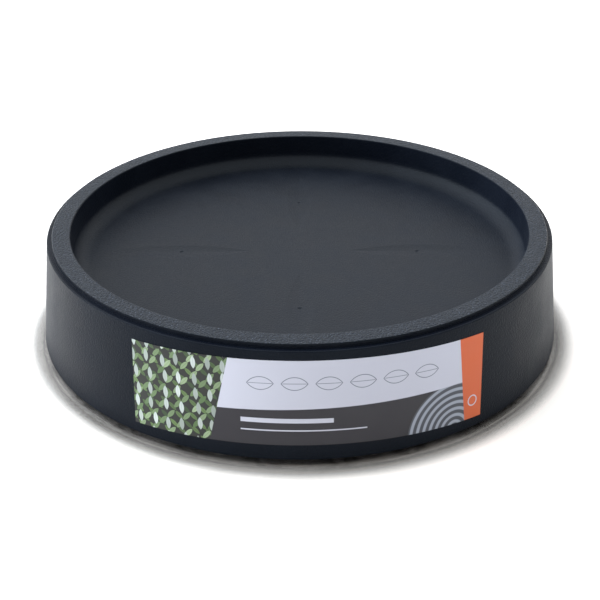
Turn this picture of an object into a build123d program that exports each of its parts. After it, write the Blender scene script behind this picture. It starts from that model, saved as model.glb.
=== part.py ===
"""Round plant caddy: a saucer deck moulded in one with its skirt, rolling on four hidden castors.

Millimetres. +Z is up, z = 0 is the ground under the wheels, and the origin is on the deck's axis.
The front, where the label is, faces -Y. Sizes stack up from the ground and out from the tray.
"""

import os
from math import atan2, cos, degrees, hypot, radians, sin, tan

from build123d import *

# Tray and rim, the saucer that the pot stands in
tray_radius = 169.8
tray_depth = 25.7
tray_draft_angle = 3.0
tray_fillet = 12.0
floor_thickness = 3.0
wall = 3.0
rim_width = 13.5
rim_edge_radius = 0.8

# Step outside the rim: a small foot, then the ledge that carries a second caddy stacked on top
rim_height = 3.3
foot_width = 0.6
foot_height = 0.7
ledge_width = 3.9
skirt_edge_radius = 0.9

# Skirt, which flares downwards and stops short of the ground
skirt_flare = 7.8
ground_gap = 5.5
skirt_foot_radius = 1.2

# Shallow leaf-shaped grooves in the tray floor, each with a moulding gate's mark at its middle
groove_count = 4
groove_inner_tip = 38.0
groove_rim_gap = 25.8
groove_width = 19.0
groove_depth = 0.7
groove_cut_lift = 0.05
gate_circle_radius = 89.3
gate_mark_radius = 1.3
gate_mark_depth = 0.5

# Ribs under the tray
rib_thickness = 2.2
rib_depth = 16.3
hub_ring_radius = 16.0
outer_ring_gap = 32.8
ring_spacing = 39.0
radial_rib_count = 8
guard_depth = 26.0
guard_clearance = 2.0

# Lugs inside the skirt, which land on the ledge of a caddy below
lug_count = 24
lug_thickness = 2.0
lug_height = 14.0
lug_lift = 4.0
lug_clearance = 0.6

# Castor wheels, a pair on each axle
wheel_radius = 17.5
wheel_width = 9.4
wheel_ring = 3.2
wheel_disc = 2.2
wheel_hub_radius = 5.2
wheel_edge_radius = 1.2
spoke_count = 6
spoke_thickness = 1.6
spoke_setback = 1.4
dish_inner_radius = 8.6
dish_outer_radius = 13.4
dish_depth = 0.7

# Castor housing: a post for the stem, a boss for the axle, a web and a hood over the wheels
castor_trail = 15.0
post_radius = 7.6
post_foot_height = 7.0
wheel_side_gap = 0.5
axle_boss_radius = 5.8
axle_boss_gap = 0.3
web_thickness = 4.4
web_radius = 13.0
hood_gap = 1.2
hood_wall = 2.2
hood_rear_angle = 8.0
hood_front_angle = 172.0
neck_height = 2.7

# Steel stem, with a snap groove in the housing and a grip ring in the deck's socket
stem_radius = 4.0
collar_radius = 7.5
collar_height = 1.5
thrust_gap = 0.2
stem_drop = 22.0
stem_end_chamfer = 0.8
snap_height = 1.4
snap_depth = 0.6
snap_setback = 3.2
socket_radius = 5.1
socket_depth = 13.6
socket_roof = 0.9
boss_wall = 4.9
stem_top_gap = 0.4
land_length = 3.2
head_length = 3.0
grip_neck_radius = 3.3
grip_ring_slot = 1.6
grip_ring_clearance = 0.02
stem_clearance = 0.05

# Axle, pressed in the housing, with a groove near each end that a bead in the wheel snaps into
axle_radius = 2.5
axle_end_gap = 0.4
axle_chamfer = 0.5
running_clearance = 0.06
bead_width = 1.0
bead_height = 0.35
bead_setback = 2.6
axial_play = 0.25

# Label, a straight strip wrapped round the front of the skirt
label_width = 247.0
label_height = 60.0
label_thickness = 0.2
label_glue_thickness = 0.1
label_top_gap = 6.2
label_shift = 7.0

# Heights that follow, from the ground up
hood_radius = wheel_radius + hood_gap + hood_wall
post_top = wheel_radius + hood_radius + neck_height
collar_bottom = post_top + thrust_gap
socket_mouth = collar_bottom + collar_height
floor_bottom = socket_mouth + socket_depth + socket_roof
floor_top = floor_bottom + floor_thickness
rim_top = floor_top + tray_depth
ledge_top = rim_top - rim_height
skirt_height = ledge_top - ground_gap

# Radii that follow, from the tray out
wall_foot_radius = tray_radius - tray_depth * tan(radians(tray_draft_angle))
rim_outer_radius = tray_radius + rim_width
skirt_top_radius = rim_outer_radius + ledge_width
skirt_bottom_radius = skirt_top_radius + skirt_flare
groove_outer_tip = tray_radius - groove_rim_gap
outer_ring_radius = tray_radius - outer_ring_gap
inner_ring_radius = outer_ring_radius - ring_spacing
castor_circle_radius = inner_ring_radius + ring_spacing / 2

# Widths that follow across a castor
wheel_inner_face = post_radius + wheel_side_gap
wheel_outer_face = wheel_inner_face + wheel_width
disc_inner_face = wheel_outer_face - wheel_disc
castor_sweep = hypot(castor_trail + hood_radius, wheel_outer_face)
guard_radius = castor_sweep + guard_clearance + rib_thickness / 2

castor_names = {
    "rear_right": 45.0,
    "rear_left": 135.0,
    "front_left": 225.0,
    "front_right": 315.0,
}


def skirt_radius(height):
    """Outer radius of the skirt at a height above the ground."""
    return skirt_top_radius + skirt_flare * (ledge_top - height) / skirt_height


def corner(sketch, radius, height):
    """The section's corner nearest to a radius and a height."""
    return sketch.vertices().sort_by_distance((radius, height, 0))[0]


def castor_place(name):
    """Where a castor's swivel axis meets the ground."""
    angle = radians(castor_names[name])
    return (castor_circle_radius * cos(angle), castor_circle_radius * sin(angle), 0)


castor_places = [castor_place(name) for name in castor_names]

# The space under the deck, up to the middle of its walls, in which ribs and lugs may stand
with BuildPart() as under_deck:
    middle = wall / 2
    with BuildSketch(Plane.XZ) as under_section:
        with BuildLine():
            Polyline(
                (0, 0),
                (skirt_radius(0) - middle, 0),
                (skirt_radius(ledge_top) - middle, ledge_top - middle),
                (tray_radius + middle, ledge_top - middle),
                (wall_foot_radius + middle, floor_bottom + middle),
                (0, floor_bottom + middle),
                close=True,
            )
        make_face()
        foot_corner = corner(under_section, wall_foot_radius + middle, floor_bottom + middle)
        fillet(foot_corner, tray_fillet + middle)
    revolve(axis=Axis.Z)

# Ring ribs, radial ribs, castor bosses, swivel guards and stacking lugs, all moulded with the deck
with BuildPart() as rib_network:
    with BuildSketch(Plane.XY.offset(floor_bottom - rib_depth)):
        for ring_radius in (outer_ring_radius, inner_ring_radius, hub_ring_radius):
            Circle(ring_radius + rib_thickness / 2)
            Circle(ring_radius - rib_thickness / 2, mode=Mode.SUBTRACT)
        rib_length = outer_ring_radius - hub_ring_radius
        with PolarLocations(hub_ring_radius + rib_length / 2, radial_rib_count):
            Rectangle(rib_length, rib_thickness)
    extrude(amount=rib_depth + wall)
    with BuildSketch(Plane.XY.offset(floor_bottom - guard_depth)):
        with Locations(*castor_places):
            Circle(guard_radius + rib_thickness / 2)
        with Locations(*castor_places):
            Circle(guard_radius - rib_thickness / 2, mode=Mode.SUBTRACT)
        Circle(outer_ring_radius, mode=Mode.SUBTRACT)
    extrude(amount=guard_depth + tray_depth)
    with BuildSketch(Plane.XY.offset(socket_mouth)):
        with Locations(*castor_places):
            Circle(socket_radius + boss_wall)
    extrude(amount=floor_bottom + wall - socket_mouth)
    with BuildSketch(Plane.XY.offset(socket_mouth)):
        with Locations(*castor_places):
            Circle(socket_radius + boss_wall)
    extrude(amount=-rib_depth, mode=Mode.SUBTRACT)
    lug_inner_radius = rim_outer_radius + foot_width + lug_clearance
    lug_length = skirt_bottom_radius - lug_inner_radius
    with BuildSketch(Plane.XY.offset(ground_gap + lug_lift)):
        with PolarLocations(lug_inner_radius + lug_length / 2, lug_count, start_angle=180 / lug_count):
            Rectangle(lug_length, lug_thickness)
    extrude(amount=lug_height)
    add(under_deck.part, mode=Mode.INTERSECT)

# One leaf-shaped groove: where two shallow cones, one from each side, overlap in the floor
with BuildPart() as leaf_groove:
    half_length = (groove_outer_tip - groove_inner_tip) / 2
    half_width = groove_width / 2
    side_radius = (half_length**2 + half_width**2) / (2 * half_width)
    side_slope = groove_depth / half_width
    top_radius = side_radius + groove_cut_lift / side_slope
    cone_height = top_radius * side_slope
    cone_offset = side_radius - half_width
    for side, way in ((cone_offset, Mode.ADD), (-cone_offset, Mode.INTERSECT)):
        with Locations((0, side, floor_top + groove_cut_lift)):
            Cone(
                bottom_radius=0,
                top_radius=top_radius,
                height=cone_height,
                align=(Align.CENTER, Align.CENTER, Align.MAX),
                mode=way,
            )

# Deck: tray, rim, ledge and skirt in one moulding, with its ribs, sockets, grooves and gate marks
with BuildPart() as deck_moulding:
    with BuildSketch(Plane.XZ) as deck_section:
        with BuildLine():
            Polyline(
                (0, floor_bottom),
                (wall_foot_radius + wall, floor_bottom),
                (tray_radius + wall, rim_top - wall),
                (rim_outer_radius - wall, rim_top - wall),
                (rim_outer_radius - wall, ledge_top - wall),
                (skirt_radius(ledge_top - wall) - wall, ledge_top - wall),
                (skirt_bottom_radius - wall, ground_gap),
                (skirt_bottom_radius, ground_gap),
                (skirt_top_radius, ledge_top),
                (rim_outer_radius + foot_width, ledge_top),
                (rim_outer_radius + foot_width, ledge_top + foot_height),
                (rim_outer_radius, ledge_top + foot_height),
                (rim_outer_radius, rim_top),
                (tray_radius, rim_top),
                (wall_foot_radius, floor_top),
                (0, floor_top),
                close=True,
            )
        make_face()
        fillet(corner(deck_section, wall_foot_radius, floor_top), tray_fillet)
        fillet(corner(deck_section, wall_foot_radius + wall, floor_bottom), tray_fillet + wall)
        fillet(corner(deck_section, tray_radius, rim_top), rim_edge_radius)
        fillet(corner(deck_section, rim_outer_radius, rim_top), rim_edge_radius)
        fillet(corner(deck_section, skirt_top_radius, ledge_top), skirt_edge_radius)
        fillet(corner(deck_section, skirt_bottom_radius, ground_gap), skirt_foot_radius)
    revolve(axis=Axis.Z)
    add(rib_network.part)
    with Locations(*[(x, y, socket_mouth) for x, y, _ in castor_places]):
        Cylinder(
            socket_radius,
            socket_depth,
            align=(Align.CENTER, Align.CENTER, Align.MIN),
            mode=Mode.SUBTRACT,
        )
    with PolarLocations((groove_inner_tip + groove_outer_tip) / 2, groove_count):
        add(leaf_groove.part, mode=Mode.SUBTRACT)
    with BuildSketch(Plane.XY.offset(floor_top - groove_depth - gate_mark_depth)):
        with PolarLocations(gate_circle_radius, groove_count):
            Circle(gate_mark_radius)
    extrude(amount=floor_thickness, mode=Mode.SUBTRACT)

# Label: a thin strip on the skirt's cone, cut square to the cone's side at the front
with BuildPart() as skirt_label:
    cone_angle = degrees(atan2(skirt_flare, skirt_height))
    label_middle = ledge_top - (label_top_gap + label_height / 2) * cos(radians(cone_angle))
    middle_radius = skirt_radius(label_middle)
    label_angle = degrees(label_width / middle_radius)
    start_angle = degrees(label_shift / middle_radius) - label_angle / 2 - 90
    label_back = label_glue_thickness
    label_face = label_glue_thickness + label_thickness
    with BuildSketch(Plane.XZ.rotated((0, 0, start_angle))):
        with BuildLine():
            Polyline(
                (skirt_radius(ground_gap) + label_back, ground_gap),
                (skirt_radius(ground_gap) + label_face, ground_gap),
                (skirt_radius(ledge_top) + label_face, ledge_top),
                (skirt_radius(ledge_top) + label_back, ledge_top),
                close=True,
            )
        make_face()
    revolve(axis=Axis.Z, revolution_arc=label_angle)
    with Locations((0, -middle_radius, label_middle)):
        Box(
            2 * skirt_bottom_radius,
            2 * skirt_bottom_radius,
            label_height,
            rotation=(-cone_angle, 0, 0),
            mode=Mode.INTERSECT,
        )

# Housing: moulded in one, standing on its axle at the castor's own origin and trailing to +Y
with BuildPart() as castor_housing:
    with BuildSketch(Plane.XY.offset(post_foot_height)):
        Circle(post_radius)
    extrude(amount=post_top - post_foot_height)
    axle_line = Plane(origin=(0, castor_trail, wheel_radius), x_dir=(0, 1, 0), z_dir=(1, 0, 0))
    hood_span = hood_front_angle - hood_rear_angle
    with BuildSketch(axle_line.offset(-wheel_outer_face)):
        with BuildLine():
            for arc_radius in (hood_radius, hood_radius - hood_wall):
                CenterArc((0, 0), arc_radius, hood_rear_angle, hood_span)
            for edge_angle in (hood_rear_angle, hood_front_angle):
                edge = radians(edge_angle)
                inner_end = (hood_radius - hood_wall) * cos(edge), (hood_radius - hood_wall) * sin(edge)
                outer_end = hood_radius * cos(edge), hood_radius * sin(edge)
                Line(inner_end, outer_end)
        make_face()
    extrude(amount=2 * wheel_outer_face)
    with BuildSketch(axle_line.offset(-web_thickness / 2)):
        Circle(web_radius)
        with BuildLine():
            web_arc = CenterArc((0, 0), hood_radius - hood_wall / 2, hood_rear_angle, hood_span)
            Line(web_arc @ 1, (0, 0))
            Line((0, 0), web_arc @ 0)
        make_face()
    extrude(amount=web_thickness)
    axle_boss_face = wheel_inner_face - axle_boss_gap
    with BuildSketch(axle_line.offset(-axle_boss_face)):
        Circle(axle_boss_radius)
    extrude(amount=2 * axle_boss_face)
    with BuildSketch(axle_line.offset(-axle_boss_face)):
        Circle(axle_radius)
    extrude(amount=2 * axle_boss_face, mode=Mode.SUBTRACT)
    stem_bottom = post_top - stem_drop
    with BuildSketch(Plane.XZ):
        snap_bottom = stem_bottom + snap_setback
        bore_radius = stem_radius + stem_clearance
        bead_radius = stem_radius - snap_depth + stem_clearance
        with BuildLine():
            Polyline(
                (0, stem_bottom - stem_top_gap),
                (bore_radius, stem_bottom - stem_top_gap),
                (bore_radius, snap_bottom + axial_play),
                (bead_radius, snap_bottom + axial_play),
                (bead_radius, snap_bottom + snap_height - axial_play),
                (bore_radius, snap_bottom + snap_height - axial_play),
                (bore_radius, post_top),
                (0, post_top),
                close=True,
            )
        make_face()
    revolve(axis=Axis.Z, mode=Mode.SUBTRACT)

# Stem: turned steel pin whose collar takes the load between the housing and the deck's boss
with BuildPart() as castor_stem:
    grip_bottom = socket_mouth + land_length
    stem_top = socket_mouth + socket_depth - stem_top_gap
    head_radius = socket_radius - stem_clearance
    with BuildSketch(Plane.XZ) as stem_section:
        with BuildLine():
            Polyline(
                (0, stem_bottom),
                (stem_radius, stem_bottom),
                (stem_radius, stem_bottom + snap_setback),
                (stem_radius - snap_depth, stem_bottom + snap_setback),
                (stem_radius - snap_depth, stem_bottom + snap_setback + snap_height),
                (stem_radius, stem_bottom + snap_setback + snap_height),
                (stem_radius, collar_bottom),
                (collar_radius, collar_bottom),
                (collar_radius, socket_mouth),
                (head_radius, socket_mouth),
                (head_radius, grip_bottom),
                (grip_neck_radius, grip_bottom),
                (grip_neck_radius, stem_top - head_length),
                (head_radius, stem_top - head_length),
                (head_radius, stem_top),
                (0, stem_top),
                close=True,
            )
        make_face()
        chamfer(corner(stem_section, head_radius, stem_top), stem_end_chamfer)
        chamfer(corner(stem_section, stem_radius, stem_bottom), stem_end_chamfer)
    revolve(axis=Axis.Z)

# Grip ring: split spring-steel ring round the stem's neck, which holds it in the deck's socket
with BuildPart() as castor_grip_ring:
    ring_height = stem_top - head_length - grip_bottom - 2 * axial_play
    with BuildSketch(Plane.XY.offset(grip_bottom + axial_play)):
        Circle(socket_radius - grip_ring_clearance)
        Circle(grip_neck_radius + grip_ring_clearance, mode=Mode.SUBTRACT)
        with Locations((0, socket_radius)):
            Rectangle(grip_ring_slot, 2 * socket_radius, mode=Mode.SUBTRACT)
    extrude(amount=ring_height)

# Axle: steel pin through the housing's boss, with a snap groove near each end
with BuildPart() as castor_axle:
    axle_end = disc_inner_face - axle_end_gap
    groove_face = axle_end - bead_setback
    axle_plane = Plane(origin=(0, castor_trail, wheel_radius), x_dir=(1, 0, 0), z_dir=(0, -1, 0))
    with BuildSketch(axle_plane) as axle_section:
        with BuildLine():
            Polyline(
                (-axle_end, 0),
                (-axle_end, axle_radius),
                (-groove_face, axle_radius),
                (-groove_face, axle_radius - bead_height),
                (-groove_face + bead_width + 2 * axial_play, axle_radius - bead_height),
                (-groove_face + bead_width + 2 * axial_play, axle_radius),
                (groove_face - bead_width - 2 * axial_play, axle_radius),
                (groove_face - bead_width - 2 * axial_play, axle_radius - bead_height),
                (groove_face, axle_radius - bead_height),
                (groove_face, axle_radius),
                (axle_end, axle_radius),
                (axle_end, 0),
                close=True,
            )
        make_face()
        chamfer(corner(axle_section, axle_end, axle_radius), axle_chamfer)
        chamfer(corner(axle_section, -axle_end, axle_radius), axle_chamfer)
    revolve(axis=Axis((0, castor_trail, wheel_radius), (1, 0, 0)))


def build_wheel(side):
    """A wheel on one side of the housing, side = 1 at +X and -1 at -X: a cup, open towards the housing."""
    with BuildPart() as wheel:
        plane = Plane(origin=(0, castor_trail, wheel_radius), x_dir=(side, 0, 0), z_dir=(0, -side, 0))
        wheel_bore = axle_radius + running_clearance
        hub_face = wheel_inner_face
        bead_face = groove_face - axial_play
        with BuildSketch(plane) as wheel_section:
            with BuildLine():
                Polyline(
                    (hub_face, wheel_bore),
                    (bead_face - bead_width, wheel_bore),
                    (bead_face - bead_width, wheel_bore - bead_height),
                    (bead_face, wheel_bore - bead_height),
                    (bead_face, wheel_bore),
                    (disc_inner_face, wheel_bore),
                    (disc_inner_face, 0),
                    (wheel_outer_face, 0),
                    (wheel_outer_face, dish_inner_radius),
                    (wheel_outer_face - dish_depth, dish_inner_radius),
                    (wheel_outer_face - dish_depth, dish_outer_radius),
                    (wheel_outer_face, dish_outer_radius),
                    (wheel_outer_face, wheel_radius),
                    (wheel_inner_face, wheel_radius),
                    (wheel_inner_face, wheel_radius - wheel_ring),
                    (disc_inner_face, wheel_radius - wheel_ring),
                    (disc_inner_face, wheel_hub_radius),
                    (hub_face, wheel_hub_radius),
                    close=True,
                )
            make_face()
            fillet(corner(wheel_section, wheel_outer_face, wheel_radius), wheel_edge_radius)
            fillet(corner(wheel_section, wheel_inner_face, wheel_radius), wheel_edge_radius)
        revolve(axis=Axis((0, castor_trail, wheel_radius), (1, 0, 0)))
        spoke_inner = wheel_hub_radius - spoke_thickness / 2
        spoke_outer = wheel_radius - wheel_ring / 2
        spoke_plane = Plane(
            origin=(side * (wheel_inner_face + spoke_setback), castor_trail, wheel_radius),
            x_dir=(0, 1, 0),
            z_dir=(side, 0, 0),
        )
        with BuildSketch(spoke_plane):
            with PolarLocations((spoke_inner + spoke_outer) / 2, spoke_count):
                Rectangle(spoke_outer - spoke_inner, spoke_thickness)
        extrude(amount=wheel_width - spoke_setback - wheel_disc / 2)
    return wheel


wheel_right = build_wheel(1)
wheel_left = build_wheel(-1)

os.makedirs("parts", exist_ok=True)

deck_moulding.part.label = "deck_moulding"
export_step(deck_moulding.part, "parts/deck_moulding.step")

skirt_label.part.label = "skirt_label"
export_step(skirt_label.part, "parts/skirt_label.step")

castor_pieces = {
    "castor_housing": castor_housing,
    "castor_stem": castor_stem,
    "castor_grip_ring": castor_grip_ring,
    "castor_axle": castor_axle,
    "wheel_right": wheel_right,
    "wheel_left": wheel_left,
}
for castor_name in castor_names:
    for piece_name, piece in castor_pieces.items():
        with BuildPart() as placed_piece:
            with Locations(castor_place(castor_name)):
                add(piece.part)
        node_name = f"{castor_name}_{piece_name}"
        placed_piece.part.label = node_name
        export_step(placed_piece.part, f"parts/{node_name}.step")

print(
    "overall height", round(rim_top, 2),
    "widest radius", round(skirt_bottom_radius, 2),
    "castor sweep", round(castor_sweep, 2),
    "guard radius", round(guard_radius, 2),
)
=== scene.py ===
"""Dresses the plant caddy: a grained plastic saucer deck on four hidden castors, with a printed label.

Metres, +Z up, the ground at z = 0 and the deck's axis at x = y = 0. The front, with the label, faces -Y.
Sizes written as `number * mm` are millimetres of the real piece.
"""

import bmesh
import bpy
import numpy as np
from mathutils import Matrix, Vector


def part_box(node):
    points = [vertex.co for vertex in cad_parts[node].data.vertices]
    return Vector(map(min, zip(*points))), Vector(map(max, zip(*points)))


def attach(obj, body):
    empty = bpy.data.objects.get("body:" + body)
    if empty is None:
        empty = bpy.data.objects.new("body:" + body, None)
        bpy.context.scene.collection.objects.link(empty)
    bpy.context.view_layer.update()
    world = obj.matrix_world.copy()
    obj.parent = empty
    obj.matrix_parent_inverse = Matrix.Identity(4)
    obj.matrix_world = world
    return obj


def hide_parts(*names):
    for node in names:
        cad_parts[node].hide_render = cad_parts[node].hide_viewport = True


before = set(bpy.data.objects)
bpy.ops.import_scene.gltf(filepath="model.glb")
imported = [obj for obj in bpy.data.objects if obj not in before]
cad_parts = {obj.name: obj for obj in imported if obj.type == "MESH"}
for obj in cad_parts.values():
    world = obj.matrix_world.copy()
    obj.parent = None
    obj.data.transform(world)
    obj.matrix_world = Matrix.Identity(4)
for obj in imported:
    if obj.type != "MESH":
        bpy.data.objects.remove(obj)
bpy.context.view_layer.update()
mm = 0.001

# Deck: tray, grained rim, foot step, ledge and flared skirt, injection moulded in one from
# anthracite polypropylene. Four leaf-shaped grooves run out from the middle of the tray's floor,
# each with the mark of a moulding gate. It rolls on the castors pushed into it from below.
tray_radius = 169.8 * mm
wall_foot_radius = 168.45 * mm
tray_fillet = 12 * mm
wall = 3 * mm
rim_top = 86 * mm
floor_top = 60.3 * mm
floor_bottom = 57.3 * mm
rim_outer = 183.3 * mm
rim_edge = 0.8 * mm
foot_width = 0.6 * mm
foot_top = 83.4 * mm
ledge_top = 82.7 * mm
skirt_top = 187.2 * mm
skirt_bottom = 195 * mm
skirt_foot = 5.5 * mm
fine_edge = 0.15 * mm
moulded_edge = 0.4 * mm
skirt_top_edge = 0.9 * mm
skirt_foot_edge = 1.2 * mm

leaf_inner_tip = 38 * mm
leaf_outer_tip = 144 * mm
leaf_half_width = 9.5 * mm
leaf_depth = 0.7 * mm
leaf_roundness = 1.7
gate_circle = 89.3 * mm
gate_radius = 1.3 * mm
gate_depth = 0.5 * mm


def rounded_outline(corners, edge_radii, arc_points=7):
    """Points along an outline, with each inner corner turned into an arc tangent to both its sides.

    Half the corner's angle gives the arc: it starts and ends radius / tan(half) away from the corner,
    and its centre is radius / sin(half) away along the middle line. Its points are a spherical mean of
    its two ends.
    """
    corners = np.asarray(corners, float)
    pieces = [corners[:1]]
    for before, here, after, radius in zip(corners, corners[1:], corners[2:], edge_radii):
        if radius == 0:
            pieces.append(here[None])
            continue
        back = (before - here) / np.linalg.norm(before - here)
        ahead = (after - here) / np.linalg.norm(after - here)
        half = np.arccos(np.dot(back, ahead)) / 2
        middle = (back + ahead) / np.linalg.norm(back + ahead)
        centre = here + middle * radius / np.sin(half)
        first = here + back * radius / np.tan(half) - centre
        last = here + ahead * radius / np.tan(half) - centre
        swing = np.pi - 2 * half
        share = np.linspace(0, 1, arc_points)[:, None]
        arc = (np.sin((1 - share) * swing) * first + np.sin(share * swing) * last) / np.sin(swing)
        pieces.append(centre + arc)
    pieces.append(corners[-1:])
    return np.concatenate(pieces)


def solid_piece(name, surfaces, sharp_angle=35):
    """One object of closed surfaces, each a grid of points whose last column joins its first.

    A surface is (points, ring): where ring is true its last row joins its first row too, and elsewhere
    its first and last rows close it, each drawn in to a point. Doubles are merged, and the faces turned
    outwards.
    """
    vertices, faces, count = [], [], 0
    for points, ring in surfaces:
        rows, columns = points.shape[:2]
        row = np.arange(rows if ring else rows - 1)[:, None]
        column = np.arange(columns)[None]
        row_after, column_after = (row + 1) % rows, (column + 1) % columns
        corners = (
            row * columns + column,
            row * columns + column_after,
            row_after * columns + column_after,
            row_after * columns + column,
        )
        faces.append(np.stack(corners, axis=-1).reshape(-1, 4) + count)
        vertices.append(points.reshape(-1, 3))
        count += rows * columns
    mesh = bpy.data.meshes.new(name)
    mesh.from_pydata(np.concatenate(vertices).tolist(), [], np.concatenate(faces).tolist())
    shape = bmesh.new()
    shape.from_mesh(mesh)
    bmesh.ops.remove_doubles(shape, verts=shape.verts, dist=0.002 * mm)
    bmesh.ops.dissolve_degenerate(shape, edges=shape.edges, dist=0.0005 * mm)
    bmesh.ops.recalc_face_normals(shape, faces=shape.faces)
    shape.to_mesh(mesh)
    shape.free()
    mesh.shade_smooth()
    mesh.set_sharp_from_angle(angle=np.radians(sharp_angle))
    piece = bpy.data.objects.new(name, mesh)
    bpy.context.collection.objects.link(piece)
    return piece


def leaf_half_angle(radius):
    """Angle, seen from the deck's axis, of half a leaf groove at a distance from the axis.

    A leaf is where two circles overlap: at a distance s from its middle, it is sqrt(R * R - s * s) - offset
    wide to each side. The angle's sine is that width over the radius, found in three rounds.
    """
    angle = np.zeros_like(radius)
    for _ in range(3):
        along = radius * np.cos(angle) - leaf_middle
        reach = np.sqrt(np.maximum(leaf_circle**2 - along**2, 0)) - leaf_offset
        angle = np.arcsin(np.clip(reach / np.maximum(radius, 1 * mm), 0, 1))
    return np.maximum(angle, np.radians(0.35))


leaf_middle = (leaf_inner_tip + leaf_outer_tip) / 2
leaf_half_length = (leaf_outer_tip - leaf_inner_tip) / 2
leaf_circle = (leaf_half_length**2 + leaf_half_width**2) / (2 * leaf_half_width)
leaf_offset = leaf_circle - leaf_half_width

deck_corners = [
    (0, floor_top),
    (wall_foot_radius, floor_top),
    (tray_radius, rim_top),
    (rim_outer, rim_top),
    (rim_outer, foot_top),
    (rim_outer + foot_width, foot_top),
    (rim_outer + foot_width, ledge_top),
    (skirt_top, ledge_top),
    (skirt_bottom, skirt_foot),
    (skirt_bottom - wall, skirt_foot),
    (skirt_top - wall + 0.3 * mm, ledge_top - wall),
    (rim_outer - wall, ledge_top - wall),
    (rim_outer - wall, rim_top - wall),
    (tray_radius + wall, rim_top - wall),
    (wall_foot_radius + wall, floor_bottom),
    (0, floor_bottom),
]
deck_edges = [
    tray_fillet,
    rim_edge,
    rim_edge,
    fine_edge,
    fine_edge,
    fine_edge,
    skirt_top_edge,
    skirt_foot_edge,
    moulded_edge,
    moulded_edge,
    moulded_edge,
    moulded_edge,
    moulded_edge,
    tray_fillet + wall,
]
outline = rounded_outline(deck_corners, deck_edges, arc_points=9)
gate_rings = np.array([0.35, 0.7, 1.05, 1.4, 1.9]) * mm
floor_rows = np.unique(np.concatenate((
    np.linspace(6 * mm, leaf_inner_tip - 2 * mm, 6),
    np.linspace(leaf_inner_tip, leaf_outer_tip, 54),
    gate_circle - gate_rings,
    [gate_circle],
    gate_circle + gate_rings,
    np.linspace(leaf_outer_tip + 2 * mm, leaf_outer_tip + 9.5 * mm, 4),
)))
floor_outline = np.stack((floor_rows, np.full_like(floor_rows, floor_top)), axis=-1)
skirt_share = np.linspace(0, 1, 9)[1:-1, None]
from_skirt_edge = np.abs(outline[:, 0] - skirt_top) + np.abs(outline[:, 1] - ledge_top + skirt_top_edge)
skirt_start = np.argmin(from_skirt_edge)
skirt_line = outline[skirt_start] + skirt_share * (outline[skirt_start + 1] - outline[skirt_start])
outline = np.concatenate((
    outline[:1],
    floor_outline,
    outline[1:skirt_start + 1],
    skirt_line,
    outline[skirt_start + 1:],
))

# Angles of the deck's columns: in the floor they follow the leaves' edges, and elsewhere they are even
leaf_shares = np.array([0, 0.03, 0.075, 0.12, 0.16, 0.2, 0.33, 0.48, 0.62, 0.75, 0.87, 0.96, 1.0])
outer_shares = np.linspace(0, 1, 29)[1:]
row_radius = outline[:, 0]
half = leaf_half_angle(row_radius)[:, None]
leaf_angles = np.concatenate((leaf_shares * half, half + outer_shares * (np.pi / 4 - half)), axis=1)
even_angles = np.broadcast_to(np.linspace(0, np.pi / 4, 41), leaf_angles.shape)
flat_reach = 157 * mm
on_floor = (np.abs(outline[:, 1] - floor_top) < 0.01 * mm) & (row_radius < flat_reach)
leaving_outwards = np.clip((row_radius - leaf_outer_tip - 1 * mm) / (11 * mm), 0, 1)
leaving_inwards = np.clip((leaf_inner_tip - 2 * mm - row_radius) / (12 * mm), 0, 1)
evenness = np.where(on_floor, leaving_outwards + leaving_inwards, 1)[:, None]
eighth = leaf_angles + evenness * (even_angles - leaf_angles)
quarter = np.concatenate((eighth[:, :-1], np.pi / 2 - eighth[:, :0:-1]), axis=1)
angles = np.concatenate([quarter + turn * np.pi / 2 for turn in range(4)], axis=1)
deck_points = np.stack((
    row_radius[:, None] * np.cos(angles),
    row_radius[:, None] * np.sin(angles),
    np.broadcast_to(outline[:, 1:], angles.shape),
), axis=-1)

# Depth of the leaves and the gates' marks, with x folded onto the nearest leaf's own line
nearest_turn = np.round(angles / (np.pi / 2)) * np.pi / 2
along = row_radius[:, None] * np.cos(angles - nearest_turn)
across = row_radius[:, None] * np.abs(np.sin(angles - nearest_turn))
inside = leaf_circle - np.hypot(along - leaf_middle, across + leaf_offset)
share_in = np.clip(inside / leaf_half_width, 0, 1)
sunk = leaf_depth * (1 - (1 - share_in) ** leaf_roundness)
from_gate = np.hypot(along - gate_circle, across)
pit = np.clip((gate_radius + 0.25 * mm - from_gate) / (0.5 * mm), 0, 1)
sunk = sunk + gate_depth * pit * pit * (3 - 2 * pit)
deck_points[..., 2] -= np.where(on_floor[:, None], sunk, 0)
deck = solid_piece("deck_shell", [(deck_points, False)])


def add_node(tree, kind, inputs=None, **settings):
    """Adds a node, its properties and its inputs by name or number: a socket is linked, a value set."""
    made = tree.nodes.new(kind)
    for name, value in settings.items():
        setattr(made, name, value)
    for key, value in (inputs or {}).items():
        if isinstance(value, bpy.types.NodeSocket):
            tree.links.new(value, made.inputs[key])
        else:
            made.inputs[key].default_value = value
    return made


def maths(tree, operation, *values):
    """The result of a Math node of one, two or three sockets or numbers."""
    return add_node(tree, "ShaderNodeMath", dict(enumerate(values)), operation=operation).outputs[0]


def ramp(tree, value, low, high, low_result=0.0, high_result=1.0, smooth=True):
    """A value mapped from low..high to low_result..high_result, and held outside that."""
    kind = "SMOOTHSTEP" if smooth else "LINEAR"
    numbers = {0: value, 1: low, 2: high, 3: low_result, 4: high_result}
    return add_node(tree, "ShaderNodeMapRange", numbers, interpolation_type=kind, clamp=True).outputs[0]


def blend_colours(tree, share, first, second):
    """A colour between two: share 0 gives the first and share 1 the second."""
    made = add_node(tree, "ShaderNodeMix", {0: share, 6: first, 7: second}, data_type="RGBA")
    return made.outputs[2]


def blend_values(tree, share, first, second):
    """A number between two: share 0 gives the first and share 1 the second."""
    return add_node(tree, "ShaderNodeMix", {0: share, 2: first, 3: second}).outputs[0]


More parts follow.
